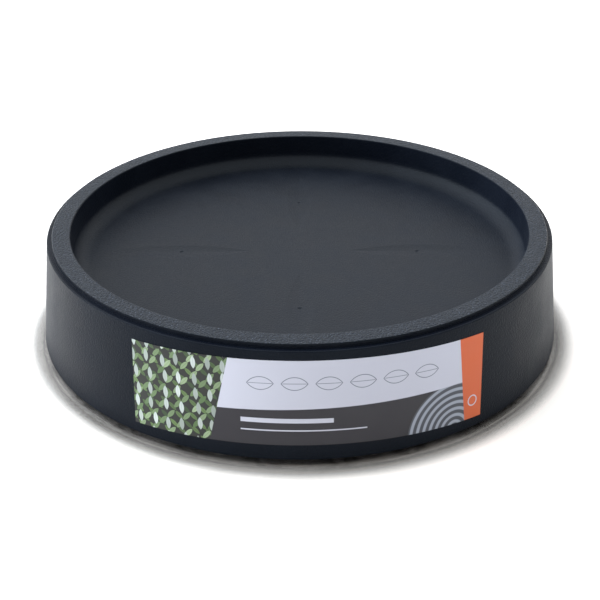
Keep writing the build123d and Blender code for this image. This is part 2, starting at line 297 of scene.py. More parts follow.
def length_of(tree, vector):
    """The length of a vector."""
    return add_node(tree, "ShaderNodeVectorMath", {0: vector}, operation="LENGTH").outputs["Value"]


def noise(tree, place, scale, detail):
    """Soft noise from 0 to 1, of about that many lumps to the metre, with finer ones added for detail."""
    inputs = {"Vector": place, "Scale": scale, "Detail": detail}
    return add_node(tree, "ShaderNodeTexNoise", inputs).outputs["Fac"]


def raise_surface(tree, shader, height):
    """Bumps a material's surface by a height in metres."""
    bump = add_node(tree, "ShaderNodeBump", {"Height": height, "Distance": 1.0})
    tree.links.new(bump.outputs[0], shader.inputs["Normal"])


def new_group(name, inputs, outputs):
    """A shader node group with number or vector inputs (name, kind, value) and number or colour outputs."""
    group = bpy.data.node_groups.new(name, "ShaderNodeTree")
    for label, kind, value in inputs:
        socket = group.interface.new_socket(label, in_out="INPUT", socket_type=kind)
        if value is not None:
            socket.default_value = value
    for label, kind in outputs:
        group.interface.new_socket(label, in_out="OUTPUT", socket_type=kind)
    return group, group.nodes.new("NodeGroupInput"), group.nodes.new("NodeGroupOutput")


def use_group(tree, group, inputs=None):
    """Places a node group in a material with its own values."""
    return add_node(tree, "ShaderNodeGroup", inputs, node_tree=group)


def new_material(name):
    """A material with a Principled shader and the object's own coordinates, in metres."""
    material = bpy.data.materials.new(name)
    material.use_nodes = True
    tree = material.node_tree
    place = add_node(tree, "ShaderNodeTexCoord").outputs["Object"]
    return material, tree, tree.nodes["Principled BSDF"], place


# Spark-eroded grain of a mould: rounded pebbles with finer noise on them. The second output marks the
# peaks of that noise, where painted glints go, and Cloud is a broad patchiness.
grain_group, grain_in, grain_out = new_group(
    "mould_grain",
    [
        ("Vector", "NodeSocketVector", None),
        ("Pebble mm", "NodeSocketFloat", 0.8),
        ("Fine share", "NodeSocketFloat", 0.4),
    ],
    [("Height", "NodeSocketFloat"), ("Glint", "NodeSocketFloat"), ("Cloud", "NodeSocketFloat")],
)
pebble_scale = maths(grain_group, "DIVIDE", 1 / mm, grain_in.outputs["Pebble mm"])
pebbles = add_node(grain_group, "ShaderNodeTexVoronoi", {
    "Vector": grain_in.outputs["Vector"],
    "Scale": pebble_scale,
    "Randomness": 1.0,
}, feature="SMOOTH_F1").outputs["Distance"]
pebble_tops = ramp(grain_group, pebbles, 0.75, 0.1)
fine_scale = maths(grain_group, "MULTIPLY", pebble_scale, 1.9)
fine = noise(grain_group, grain_in.outputs["Vector"], fine_scale, 3.0)
cloud_scale = maths(grain_group, "MULTIPLY", pebble_scale, 0.035)
cloud = noise(grain_group, grain_in.outputs["Vector"], cloud_scale, 3.0)
fine_share = maths(grain_group, "MULTIPLY", fine, grain_in.outputs["Fine share"])
grain_group.links.new(maths(grain_group, "ADD", pebble_tops, fine_share), grain_out.inputs["Height"])
grain_group.links.new(ramp(grain_group, fine, 0.58, 0.72), grain_out.inputs["Glint"])
grain_group.links.new(ramp(grain_group, cloud, 0.35, 0.65), grain_out.inputs["Cloud"])

# Deck plastic: near-black navy, matt, with a coarser grain on the rim. The rim top's colour is paler as a
# painted sheen of that grain, with pale grey dots on its peaks as painted glints. The tray's wall and the
# rim's outer side with the ledge below it came off polished steel, so they are smoother.
floor_grain_depth = 0.12 * mm
rim_grain_depth = 0.55 * mm
sink_depth = 0.05 * mm
sink_half_width = 2.6 * mm
sink_offset = 15 * mm
darkest_navy = (0.0026, 0.0040, 0.0074, 1)
palest_navy = (0.0038, 0.0054, 0.0092, 1)
# painted sheen: a paler navy for the rim top, standing in for the light its coarse grain scatters
rim_sheen_navy = (0.0080, 0.0102, 0.0144, 1)
# painted glints: the pale grey put on the peaks of the rim's grain
glint_grey = (0.110, 0.124, 0.155, 1)
polished_roughness = 0.3
floor_gloss = 0.24
rim_gloss = 0.25
skirt_gloss = 0.09
polished_gloss = 0.07

deck_plastic, tree, shader, place = new_material("deck_plastic")
parts = add_node(tree, "ShaderNodeSeparateXYZ", {0: place}).outputs
flat_place = add_node(tree, "ShaderNodeCombineXYZ", {0: parts[0], 1: parts[1]}).outputs[0]
from_axis = length_of(tree, flat_place)
past_tray = ramp(tree, from_axis, tray_radius + 0.2 * mm, tray_radius + 0.9 * mm)
before_foot = ramp(tree, from_axis, rim_outer + 0.1 * mm, rim_outer - 0.5 * mm)
on_top = ramp(tree, parts[2], rim_top - 0.5 * mm, rim_top - 0.1 * mm)
on_rim = maths(tree, "MULTIPLY", maths(tree, "MULTIPLY", past_tray, before_foot), on_top)
floor_grain = use_group(tree, grain_group, {"Vector": place, "Pebble mm": 1.0, "Fine share": 0.7})
rim_grain = use_group(tree, grain_group, {"Vector": place, "Pebble mm": 1.4, "Fine share": 1.1})
size_x = maths(tree, "ABSOLUTE", parts[0])
size_y = maths(tree, "ABSOLUTE", parts[1])
sink_fold = maths(tree, "SUBTRACT", size_y, size_x)
sink_sum = maths(tree, "ADD", size_y, size_x)
sink_side = maths(tree, "ABSOLUTE", maths(tree, "SUBTRACT", sink_fold, sink_offset))
sink_start = ramp(tree, sink_sum, 35 * mm, 60 * mm)
sink_end = ramp(tree, sink_sum, 175 * mm, 145 * mm)
sink_reach = maths(tree, "MULTIPLY", sink_start, sink_end)
sink_line = maths(tree, "MULTIPLY", ramp(tree, sink_side, sink_half_width, 0.0), sink_reach)
floor_height = maths(tree, "MULTIPLY", floor_grain.outputs["Height"], floor_grain_depth)
rim_height = maths(tree, "MULTIPLY", rim_grain.outputs["Height"], rim_grain_depth)
grain_height = blend_values(tree, on_rim, floor_height, rim_height)
height = maths(tree, "SUBTRACT", grain_height, maths(tree, "MULTIPLY", sink_line, sink_depth))
raise_surface(tree, shader, height)
navy = blend_colours(tree, floor_grain.outputs["Cloud"], darkest_navy, palest_navy)
# painted glints: pale grey dots where the rim grain's fine noise peaks
painted_glints = maths(tree, "MULTIPLY", rim_grain.outputs["Glint"], on_rim)
# painted sheen: the rim top is paled towards that paler navy
rim_painted_sheen = blend_colours(tree, on_rim, navy, rim_sheen_navy)
glinted_rim = blend_colours(tree, maths(tree, "MULTIPLY", painted_glints, 0.8), rim_painted_sheen, glint_grey)
tree.links.new(glinted_rim, shader.inputs["Base Color"])
grained_roughness = ramp(tree, floor_grain.outputs["Cloud"], 0.0, 1.0, 0.41, 0.46, smooth=False)
in_tray_wall = ramp(tree, from_axis, wall_foot_radius - 0.6 * mm, wall_foot_radius + 0.4 * mm)
past_wall = ramp(tree, from_axis, tray_radius, tray_radius + 0.4 * mm)
in_rim_side = ramp(tree, from_axis, rim_outer - 0.4 * mm, rim_outer - 0.1 * mm)
past_side = ramp(tree, from_axis, skirt_top - 1.2 * mm, skirt_top - 0.8 * mm)
on_tray_wall = maths(tree, "SUBTRACT", in_tray_wall, past_wall)
on_rim_side = maths(tree, "SUBTRACT", in_rim_side, past_side)
polished = maths(tree, "MAXIMUM", on_tray_wall, on_rim_side)
roughness = blend_values(tree, polished, grained_roughness, polished_roughness)
tree.links.new(roughness, shader.inputs["Roughness"])
on_skirt = ramp(tree, from_axis, skirt_top - 0.9 * mm, skirt_top - 0.2 * mm)
gloss = blend_values(tree, on_rim, floor_gloss, rim_gloss)
gloss = blend_values(tree, on_skirt, gloss, skirt_gloss)
gloss = blend_values(tree, polished, gloss, polished_gloss)
tree.links.new(gloss, shader.inputs["Specular IOR Level"])
shader.inputs["Specular Tint"].default_value = (0.86, 0.95, 1.0, 1)
deck.data.materials.append(deck_plastic)
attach(deck, "deck")
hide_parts("deck_moulding")

# Ribs under the deck: three ring ribs, eight radial ribs, a guard wall round each castor's sweep, a boss
# with a blind socket for each castor's stem, and the lugs inside the skirt's foot that land on the ledge
# of a caddy below. All are moulded in one with the deck.
rib_thickness = 2.2 * mm
rib_bottom = 41 * mm
rib_top = 58.6 * mm
hub_ring = 16 * mm
inner_ring = 98 * mm
outer_ring = 137 * mm
guard_bottom = 31.3 * mm
guard_radius = 43.04 * mm
socket_radius = 5.1 * mm
boss_radius = 10 * mm
socket_mouth = 42.8 * mm
socket_end = 56.4 * mm
lug_count = 24
lug_thickness = 2 * mm
lug_inner = 184.5 * mm
lug_bottom = 9.5 * mm
lug_top = 23.5 * mm

castor_names = ["rear_right", "rear_left", "front_left", "front_right"]
castor_places = {}
for castor in castor_names:
    low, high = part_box(f"{castor}_castor_stem")
    castor_places[castor] = np.array([(low.x + high.x) / 2, (low.y + high.y) / 2, 0])


def turned(outline, count=64, centre=(0, 0, 0)):
    """An outline of (radius, height) points turned round the vertical line through a centre."""
    outline = np.asarray(outline, float)
    angle = np.arange(count) * 2 * np.pi / count
    spread = outline[:, :1]
    points = np.stack((
        spread * np.cos(angle),
        spread * np.sin(angle),
        np.broadcast_to(outline[:, 1:], (len(outline), count)),
    ), axis=-1)
    return points + np.asarray(centre)


def capped(sections):
    """Sections along a piece, with one more at each end drawn in to that end's middle, which closes it."""
    first = np.broadcast_to(sections[:1].mean(axis=1, keepdims=True), sections[:1].shape)
    last = np.broadcast_to(sections[-1:].mean(axis=1, keepdims=True), sections[-1:].shape)
    return np.concatenate((first, sections, last))


def upright_wall(path, thickness, low, high):
    """A wall of even thickness that stands on a path of (x, y) points, square to it, from low to high."""
    path = np.asarray(path, float)
    ahead = np.gradient(path, axis=0)
    side = np.stack((-ahead[:, 1], ahead[:, 0]), axis=-1)
    side = side / np.linalg.norm(side, axis=1, keepdims=True) * thickness / 2
    corners = []
    for way, height in ((-1, low), (1, low), (1, high), (-1, high)):
        flat = path + way * side
        corners.append(np.concatenate((flat, np.full((len(flat), 1), height)), axis=1))
    return capped(np.stack(corners, axis=1))


rib_surfaces = []
for radius in (hub_ring, inner_ring, outer_ring):
    inner, outer = radius - rib_thickness / 2, radius + rib_thickness / 2
    section = [(inner, rib_bottom), (outer, rib_bottom), (outer, rib_top), (inner, rib_top)]
    rib_surfaces.append((turned(section, 256 if radius > hub_ring else 64), True))
castor_circle = (inner_ring + outer_ring) / 2
for number in range(8):
    angle = number * np.pi / 4
    line = np.array([np.cos(angle), np.sin(angle)])
    spans = [(hub_ring, outer_ring)]
    if number % 2 == 1:
        into_boss = boss_radius - 0.3 * mm
        spans = [(hub_ring, castor_circle - into_boss), (castor_circle + into_boss, outer_ring)]
    for start, end in spans:
        path = np.array([start, end])[:, None] * line
        rib_surfaces.append((upright_wall(path, rib_thickness, rib_bottom, rib_top), False))
guard_reach = (outer_ring**2 - castor_circle**2 - guard_radius**2) / (2 * castor_circle * guard_radius)
guard_half_angle = np.arccos(guard_reach)
for castor, place_on_ground in castor_places.items():
    facing = np.arctan2(place_on_ground[1], place_on_ground[0])
    sweep = facing + np.linspace(-guard_half_angle, guard_half_angle, 65)
    path = place_on_ground[:2] + guard_radius * np.stack((np.cos(sweep), np.sin(sweep)), axis=-1)
    rib_surfaces.append((upright_wall(path, rib_thickness, guard_bottom, rib_top + 0.6 * mm), False))
    boss = [
        (0, socket_end),
        (socket_radius, socket_end),
        (socket_radius, socket_mouth + 0.4 * mm),
        (socket_radius + 0.4 * mm, socket_mouth),
        (boss_radius - 0.5 * mm, socket_mouth),
        (boss_radius, socket_mouth + 0.5 * mm),
        (boss_radius, rib_top),
        (0, rib_top),
    ]
    rib_surfaces.append((turned(boss, 64, place_on_ground), False))
slant = (skirt_bottom - skirt_top) / (ledge_top - skirt_foot)
lug_outer_low = skirt_bottom - slant * (lug_bottom - skirt_foot) - wall / 2
lug_outer_high = skirt_bottom - slant * (lug_top - skirt_foot) - wall / 2
for number in range(lug_count):
    angle = (number + 0.5) * 2 * np.pi / lug_count
    ahead = np.array([np.cos(angle), np.sin(angle), 0])
    side = np.array([-np.sin(angle), np.cos(angle), 0]) * lug_thickness / 2
    up = np.array([0, 0, 1])
    edge = np.stack((
        lug_inner * ahead + lug_bottom * up,
        lug_outer_low * ahead + lug_bottom * up,
        lug_outer_high * ahead + lug_top * up,
        (lug_inner + 1.2 * mm) * ahead + lug_top * up,
    ))
    rib_surfaces.append((capped(np.stack((edge - side, edge + side))), False))
ribs = solid_piece("deck_ribs", rib_surfaces, sharp_angle=30)
rounding = ribs.modifiers.new("moulded edges", "BEVEL")
rounding.width = 0.35 * mm
rounding.segments = 2
rounding.limit_method = "ANGLE"
rounding.harden_normals = True
ribs.data.materials.append(deck_plastic)
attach(ribs, "deck")
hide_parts("deck_moulding")

# Label: a printed film strip, glued round the front of the skirt. It was cut straight and lies flat on
# the skirt's cone, so its ends lean a little. The print is a plain garden pattern without words.
label_width = 247 * mm
label_height = 60 * mm
label_shift = 7 * mm
label_top_gap = 6.2 * mm
label_stand_off = 0.1 * mm
label_thickness = 0.2 * mm
columns, rows = 161, 25
cone_slope = np.arctan(slant)
apex_height = ledge_top + skirt_top / slant
label_columns = np.linspace(-label_width / 2, label_width / 2, columns) + label_shift
label_rows = np.linspace(0, label_height, rows)
straight, drop = np.meshgrid(label_columns, label_rows)
to_top = skirt_top / np.sin(cone_slope) + label_top_gap
slanted = np.hypot(straight, to_top + drop)
turn = np.arctan2(straight, to_top + drop) / np.sin(cone_slope)


def on_cone(lift):
    """Label points on the skirt's cone, lifted square to it: a flat sheet's points keep their distances.

    The sheet is a piece of the cone rolled out flat, so a point's distance from the flat cone's tip is its
    distance down the slope, and its angle about that tip, over the sine of the slope, is its turn.
    """
    radius = slanted * np.sin(cone_slope) + lift * np.cos(cone_slope)
    height = apex_height - slanted * np.cos(cone_slope) + lift * np.sin(cone_slope)
    return np.stack((radius * np.sin(turn), -radius * np.cos(turn), height), axis=-1)


front = on_cone(label_stand_off + label_thickness)
back = on_cone(label_stand_off)[:, ::-1]
label_mesh = bpy.data.meshes.new("skirt_label_film")
grid = np.arange(rows * columns).reshape(rows, columns)
front_quads = np.stack((grid[1:, :-1], grid[1:, 1:], grid[:-1, 1:], grid[:-1, :-1]), axis=-1).reshape(-1, 4)
border = np.concatenate((grid[0, :-1], grid[:-1, -1], grid[-1, :0:-1], grid[:0:-1, 0]))
border_back = (border // columns) * columns + (columns - 1 - border % columns) + rows * columns
border_after = np.roll(border, -1)
back_after = np.roll(border_back, -1)
edge_quads = np.stack((border, border_after, back_after, border_back), axis=-1)
label_points = np.concatenate((front.reshape(-1, 3), back.reshape(-1, 3)))
label_faces = np.concatenate((front_quads, front_quads + rows * columns, edge_quads))
label_mesh.from_pydata(label_points.tolist(), [], label_faces.tolist())
flat = np.stack((
    np.concatenate((straight, straight[:, ::-1])) - label_columns[0],
    label_height - np.concatenate((drop, drop)),
), axis=-1).reshape(-1, 2) / label_width
corner_vertices = np.empty(len(label_mesh.loops), dtype=np.int32)
label_mesh.loops.foreach_get("vertex_index", corner_vertices)
print_map = label_mesh.uv_layers.new(name="print")
print_map.uv.foreach_set("vector", flat[corner_vertices].astype(np.float32).ravel())
label_mesh.shade_smooth()
label_mesh.set_sharp_from_angle(angle=np.radians(30))
label = bpy.data.objects.new("skirt_label_film", label_mesh)
bpy.context.collection.objects.link(label)

# One layer of printed leaves: rows of pointed ovals, each where two circles overlap, turned by an angle
leaves, leaf_in, leaf_out = new_group(
    "printed_leaves",
    [
        ("Vector", "NodeSocketVector", None),
        ("Angle", "NodeSocketFloat", 0.0),
        ("Pitch", "NodeSocketFloat", 10.0),
        ("Length", "NodeSocketFloat", 8.0),
        ("Width", "NodeSocketFloat", 3.0),
        ("Jitter", "NodeSocketFloat", 1.0),
    ],
    [("Inside", "NodeSocketFloat"), ("Random", "NodeSocketFloat"), ("Vein", "NodeSocketFloat")],
)
turned_place = add_node(leaves, "ShaderNodeVectorRotate", {
    "Vector": leaf_in.outputs["Vector"],
    "Axis": (0, 0, 1),
    "Angle": leaf_in.outputs["Angle"],
}).outputs[0]
in_cells = add_node(leaves, "ShaderNodeVectorMath", {
    0: turned_place,
    3: maths(leaves, "DIVIDE", 1.0, leaf_in.outputs["Pitch"]),
}, operation="SCALE").outputs[0]
cell = add_node(leaves, "ShaderNodeVectorMath", {0: in_cells}, operation="FLOOR").outputs[0]
chance = add_node(leaves, "ShaderNodeTexWhiteNoise", {"Vector": cell}, noise_dimensions="2D")
chance_parts = add_node(leaves, "ShaderNodeSeparateColor", {0: chance.outputs["Color"]}).outputs
inside_cell = add_node(leaves, "ShaderNodeVectorMath", {0: in_cells}, operation="FRACTION").outputs[0]
cell_parts = add_node(leaves, "ShaderNodeSeparateXYZ", {0: inside_cell}).outputs
jitter_reach = maths(leaves, "MULTIPLY", leaf_in.outputs["Jitter"], 0.3)
local = []
for axis in range(2):
    shifted = maths(leaves, "SUBTRACT", chance_parts[axis], 0.5)
    jittered = maths(leaves, "MULTIPLY", shifted, jitter_reach)
    centred = maths(leaves, "SUBTRACT", maths(leaves, "SUBTRACT", cell_parts[axis], 0.5), jittered)
    local.append(maths(leaves, "MULTIPLY", centred, leaf_in.outputs["Pitch"]))
half_length = maths(leaves, "MULTIPLY", leaf_in.outputs["Length"], 0.5)
half_width = maths(leaves, "MULTIPLY", leaf_in.outputs["Width"], 0.5)
length_squared = maths(leaves, "MULTIPLY", half_length, half_length)
width_squared = maths(leaves, "MULTIPLY", half_width, half_width)
squares = maths(leaves, "ADD", length_squared, width_squared)
circle = maths(leaves, "DIVIDE", squares, maths(leaves, "MULTIPLY", half_width, 2.0))
from_vein = maths(leaves, "ABSOLUTE", local[1])
apart = maths(leaves, "ADD", from_vein, maths(leaves, "SUBTRACT", circle, half_width))
from_centre = add_node(leaves, "ShaderNodeCombineXYZ", {0: local[0], 1: apart}).outputs[0]
inside_edge = maths(leaves, "SUBTRACT", circle, length_of(leaves, from_centre))
leaves.links.new(inside_edge, leaf_out.inputs["Inside"])
leaves.links.new(chance_parts[2], leaf_out.inputs["Random"])
leaves.links.new(from_vein, leaf_out.inputs["Vein"])

label_film, tree, shader, place = new_material("label_film")
uv = add_node(tree, "ShaderNodeUVMap", uv_map="print").outputs[0]
in_millimetres = {0: uv, 3: label_width / mm}
print_place = add_node(tree, "ShaderNodeVectorMath", in_millimetres, operation="SCALE").outputs[0]
across, up, _ = add_node(tree, "ShaderNodeSeparateXYZ", {0: print_place}).outputs
ink_black = (0.0150, 0.0130, 0.0175, 1)
paper_white = (0.69, 0.66, 0.69, 1)
ink_grey = (0.16, 0.165, 0.185, 1)
ink_orange = (0.745, 0.135, 0.035, 1)
arc_dark = (0.07, 0.072, 0.08, 1)
arc_pale = (0.40, 0.41, 0.44, 1)
soft = 0.12

# Places on the print, in millimetres from its lower left corner
row_start = 80.0
row_end = 212.0
row_foot = 33.0
rule_start = 78.0
thick_rule_end = 138.0
thick_rule_middle = 17.5
thin_rule_end = 160.0
thin_rule_middle = 10.5
arc_centre = (224.0, -4.0)
ring_centre = (239.0, 13.0)


def past(value, line):
    """1 where a value in millimetres is past a line and 0 before it, with an edge as soft as print."""
    return ramp(tree, value, line - soft, line + soft, smooth=False)


def seen_from(centre):
    """The place on the print, measured from a centre in millimetres."""
    shift = (-centre[0], -centre[1], 0.0)
    return add_node(tree, "ShaderNodeVectorMath", {0: print_place, 1: shift}, operation="ADD").outputs[0]


def rule(middle, half_height, end):
    """1 on a plain level rule that runs from the rules' start to its own end."""
    off_middle = maths(tree, "ABSOLUTE", maths(tree, "SUBTRACT", up, middle))
    in_height = maths(tree, "SUBTRACT", 1.0, past(off_middle, half_height))
    in_length = maths(tree, "SUBTRACT", past(across, rule_start), past(across, end))
    return maths(tree, "MULTIPLY", in_height, in_length)


# Botanical panel at the left: three layers of leaves in greens and stone on dark ground
panel = (0.012, 0.013, 0.010, 1)
for angle, pitch, length, width, dark_leaf, light_leaf in (
    (0.7, 7.5, 7.8, 2.8, (0.030, 0.055, 0.018, 1), (0.13, 0.20, 0.060, 1)),
    (2.3, 8.5, 8.4, 3.2, (0.09, 0.15, 0.05, 1), (0.36, 0.44, 0.24, 1)),
    (1.5, 11.0, 9.0, 3.4, (0.30, 0.33, 0.27, 1), (0.66, 0.68, 0.60, 1)),
):
    layer = use_group(tree, leaves, {
        "Vector": print_place,
        "Angle": angle,
        "Pitch": pitch,
        "Length": length,
        "Width": width,
    })
    shade = blend_colours(tree, layer.outputs["Random"], dark_leaf, light_leaf)
    on_vein = ramp(tree, layer.outputs["Vein"], 0.22, 0.10, high_result=0.45)
    veined = blend_colours(tree, on_vein, shade, dark_leaf)
    panel = blend_colours(tree, ramp(tree, layer.outputs["Inside"], -0.08, 0.08), panel, veined)

# White band with a row of leaf outlines, over a dark band with two plain rules
row_leaves = use_group(tree, leaves, {
    "Vector": seen_from((row_start, row_foot)),
    "Angle": 0.0,
    "Pitch": 22.0,
    "Length": 17.0,
    "Width": 9.0,
    "Jitter": 0.0,
})
line_distance = maths(tree, "ABSOLUTE", row_leaves.outputs["Inside"])
outlined = ramp(tree, line_distance, 0.32, 0.16, smooth=False)
vein = ramp(tree, row_leaves.outputs["Vein"], 0.24, 0.12, smooth=False)
vein = maths(tree, "MULTIPLY", vein, ramp(tree, row_leaves.outputs["Inside"], 0.4, 0.7))
drawn = maths(tree, "MAXIMUM", outlined, vein)
in_row = maths(tree, "MULTIPLY", past(across, row_start), past(up, row_foot))
drawn = maths(tree, "MULTIPLY", drawn, maths(tree, "SUBTRACT", in_row, past(across, row_end)))
drawn = maths(tree, "MAXIMUM", drawn, 0.0)
white_band = blend_colours(tree, drawn, paper_white, ink_grey)
thick_rule = rule(thick_rule_middle, 1.6, thick_rule_end)
thin_rule = rule(thin_rule_middle, 0.45, thin_rule_end)
dark_band = blend_colours(tree, maths(tree, "MAXIMUM", thick_rule, thin_rule), ink_black, paper_white)

# Grey swatch of plain arcs, set into the dark band
arc_distance = length_of(tree, seen_from(arc_centre))
arc_wave = maths(tree, "SINE", maths(tree, "MULTIPLY", arc_distance, 1.35))
arc_colour = blend_colours(tree, ramp(tree, arc_wave, -0.4, 0.6), arc_dark, arc_pale)
in_swatch = maths(tree, "SUBTRACT", 1.0, past(arc_distance, 36.0))
dark_band = blend_colours(tree, in_swatch, dark_band, arc_colour)

# The two bands meet on a rising line, beside the leaning panel and the leaning orange stripe with its ring
slope_up = maths(tree, "ADD", maths(tree, "MULTIPLY", across, 0.028), 22.5)
above = past(maths(tree, "SUBTRACT", up, slope_up), 0.0)
printed = blend_colours(tree, above, dark_band, white_band)
panel_edge = maths(tree, "ADD", maths(tree, "MULTIPLY", up, 0.22), 57.0)
printed = blend_colours(tree, past(maths(tree, "SUBTRACT", panel_edge, across), 0.0), printed, panel)
stripe = past(maths(tree, "ADD", across, maths(tree, "MULTIPLY", up, 0.10)), 232.5)
ring_distance = length_of(tree, seen_from(ring_centre))
ring_edge = maths(tree, "ABSOLUTE", maths(tree, "SUBTRACT", ring_distance, 3.6))
ringed = blend_colours(tree, past(ring_edge, 0.4), paper_white, ink_orange)
printed = blend_colours(tree, stripe, printed, ringed)
tree.links.new(printed, shader.inputs["Base Color"])
film_waves = noise(tree, place, 60.0, 2.0)
raise_surface(tree, shader, maths(tree, "MULTIPLY", film_waves, 0.05 * mm))
tree.links.new(ramp(tree, film_waves, 0.3, 0.7, 0.36, 0.44), shader.inputs["Roughness"])
shader.inputs["Specular IOR Level"].default_value = 0.35
label_mesh.materials.append(label_film)
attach(label, "deck")
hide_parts("skirt_label")

# Castor wheels: black nylon cups with a hub and six spokes, snapped onto each end of the axle, open
# towards the housing. The outer face has a shallow dish. Soft scuffs are paler and rougher than the rest.
wheel_nylon, tree, shader, place = new_material("wheel_nylon")
nylon_grain = use_group(tree, grain_group, {"Vector": place, "Pebble mm": 0.35, "Fine share": 0.5})
raise_surface(tree, shader, maths(tree, "MULTIPLY", nylon_grain.outputs["Height"], 0.012 * mm))
wheel_black = (0.013, 0.013, 0.014, 1)
scuffed_black = (0.030, 0.030, 0.031, 1)
scuffs = noise(tree, place, 180.0, 5.0)
black = blend_colours(tree, ramp(tree, scuffs, 0.52, 0.68), wheel_black, scuffed_black)
tree.links.new(black, shader.inputs["Base Color"])
tree.links.new(ramp(tree, scuffs, 0.4, 0.65, 0.34, 0.5), shader.inputs["Roughness"])

wheel_ring = 3.2 * mm
wheel_disc = 2.2 * mm
hub_radius = 5.2 * mm
wheel_bore = 2.56 * mm
dish_inner = 8.6 * mm
dish_outer = 13.4 * mm
dish_depth = 0.7 * mm
spoke_thickness = 1.6 * mm
spoke_setback = 1.4 * mm

for castor, place_on_ground in castor_places.items():
    for side_name, side in (("right", 1), ("left", -1)):
        node_name = f"{castor}_wheel_{side_name}"
        low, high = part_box(node_name)
        wheel_radius = (high.z - low.z) / 2
        width = high.x - low.x
        inner_face = (low.x if side > 0 else high.x)
        axle_point = np.array([inner_face, (low.y + high.y) / 2, (low.z + high.z) / 2])
        wheel_corners = [
            (0, width - wheel_disc),
            (wheel_bore, width - wheel_disc),
            (wheel_bore, 0),
            (hub_radius, 0),
            (hub_radius, width - wheel_disc),
            (wheel_radius - wheel_ring, width - wheel_disc),
            (wheel_radius - wheel_ring, 0),
            (wheel_radius, 0),
            (wheel_radius, width),
            (dish_outer, width),
            (dish_outer, width - dish_depth),
            (dish_inner, width - dish_depth),
            (dish_inner, width),
            (0, width),
        ]
        edge = 0.3 * mm
        wheel_edges = [0, edge, edge, 0.8 * mm, 0.8 * mm, edge, 1.2 * mm, 1.2 * mm, edge, edge, edge, edge]
        profile = rounded_outline(wheel_corners, wheel_edges, arc_points=5)
        angle = np.arange(96) * 2 * np.pi / 96
        wheel_points = np.stack((
            side * np.broadcast_to(profile[:, 1:], (len(profile), 96)),
            profile[:, :1] * np.cos(angle),
            profile[:, :1] * np.sin(angle),
        ), axis=-1)
        surfaces = [(wheel_points + axle_point, False)]
        for spoke in range(6):
            spoke_angle = spoke * np.pi / 3
            out = np.array([0, np.cos(spoke_angle), np.sin(spoke_angle)])
            beside = np.array([0, -np.sin(spoke_angle), np.cos(spoke_angle)]) * spoke_thickness / 2
            inner_x = np.array([side * spoke_setback, 0, 0])
            outer_x = np.array([side * (width - wheel_disc / 2), 0, 0])
            reach = np.array([hub_radius - spoke_thickness / 2, wheel_radius - wheel_ring / 2])
            ends = reach[:, None] * out
            section = np.stack((
                ends + inner_x - beside,
                ends + inner_x + beside,
                ends + outer_x + beside,
                ends + outer_x - beside,
            ), axis=1)
            surfaces.append((capped(section) + axle_point, False))
        wheel = solid_piece(f"{node_name}_dressed", surfaces, sharp_angle=40)
        wheel.data.materials.append(wheel_nylon)
        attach(wheel, f"{castor}_{side_name}_wheel")
        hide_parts(node_name)

# Castor housings: black nylon mouldings with a post for the stem, a web, an axle boss and a hood over
# the wheels. They keep the solid's own shape, smoothed over its curves.
housing_nylon, tree, shader, place = new_material("housing_nylon")
housing_black = (0.011, 0.011, 0.0125, 1)
housing_grey = (0.019, 0.019, 0.021, 1)
spark_grain = use_group(tree, grain_group, {"Vector": place, "Pebble mm": 0.5, "Fine share": 0.6})
raise_surface(tree, shader, maths(tree, "MULTIPLY", spark_grain.outputs["Height"], 0.03 * mm))
black = blend_colours(tree, spark_grain.outputs["Cloud"], housing_black, housing_grey)
tree.links.new(black, shader.inputs["Base Color"])
tree.links.new(ramp(tree, spark_grain.outputs["Cloud"], 0, 1, 0.5, 0.62), shader.inputs["Roughness"])

for castor in castor_names:
    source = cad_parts[f"{castor}_castor_housing"]
    housing_mesh = source.data.copy()
    shape = bmesh.new()
    shape.from_mesh(housing_mesh)
    bmesh.ops.remove_doubles(shape, verts=shape.verts, dist=0.005 * mm)
    bmesh.ops.recalc_face_normals(shape, faces=shape.faces)
    shape.to_mesh(housing_mesh)
    shape.free()
    housing_mesh.materials.clear()
    housing_mesh.materials.append(housing_nylon)
    housing_mesh.shade_smooth()
    housing_mesh.set_sharp_from_angle(angle=np.radians(30))
    housing = bpy.data.objects.new(f"{castor}_castor_housing_dressed", housing_mesh)
    bpy.context.collection.objects.link(housing)
    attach(housing, f"{castor}_castor")
    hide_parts(f"{castor}_castor_housing")


def steel_material(name, colour, roughness_low, roughness_high, mark_scale):
    """Bright steel with fine tool marks, and a colour and roughness that follow a soft cloud."""
    material, tree, shader, place = new_material(name)
    marks = noise(tree, place, mark_scale, 4.0)
    cloud = noise(tree, place, 220.0, 3.0)
    darker = tuple(value * 0.72 for value in colour[:3]) + (1,)
    steel = blend_colours(tree, ramp(tree, cloud, 0.4, 0.65), colour, darker)
    tree.links.new(steel, shader.inputs["Base Color"])
    tree.links.new(ramp(tree, cloud, 0.35, 0.65, roughness_low, roughness_high), shader.inputs["Roughness"])
    raise_surface(tree, shader, maths(tree, "MULTIPLY", marks, 0.006 * mm))
    shader.inputs["Metallic"].default_value = 1.0
    return material


# Stems, grip rings and axles: zinc-plated turned pins, a split spring ring that holds each stem in its
# socket, and drawn steel axles pressed through the housings. Their solids are kept as they are.
steels = {
    "castor_stem": steel_material("stem_steel", (0.56, 0.57, 0.58, 1), 0.24, 0.38, 2600.0),
    "castor_grip_ring": steel_material("spring_steel", (0.22, 0.215, 0.21, 1), 0.3, 0.45, 1500.0),
    "castor_axle": steel_material("axle_steel", (0.50, 0.50, 0.51, 1), 0.2, 0.34, 3200.0),
}
for castor in castor_names:
    for piece_name, steel in steels.items():
        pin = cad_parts[f"{castor}_{piece_name}"]
        pin.data.materials.clear()
        pin.data.materials.append(steel)

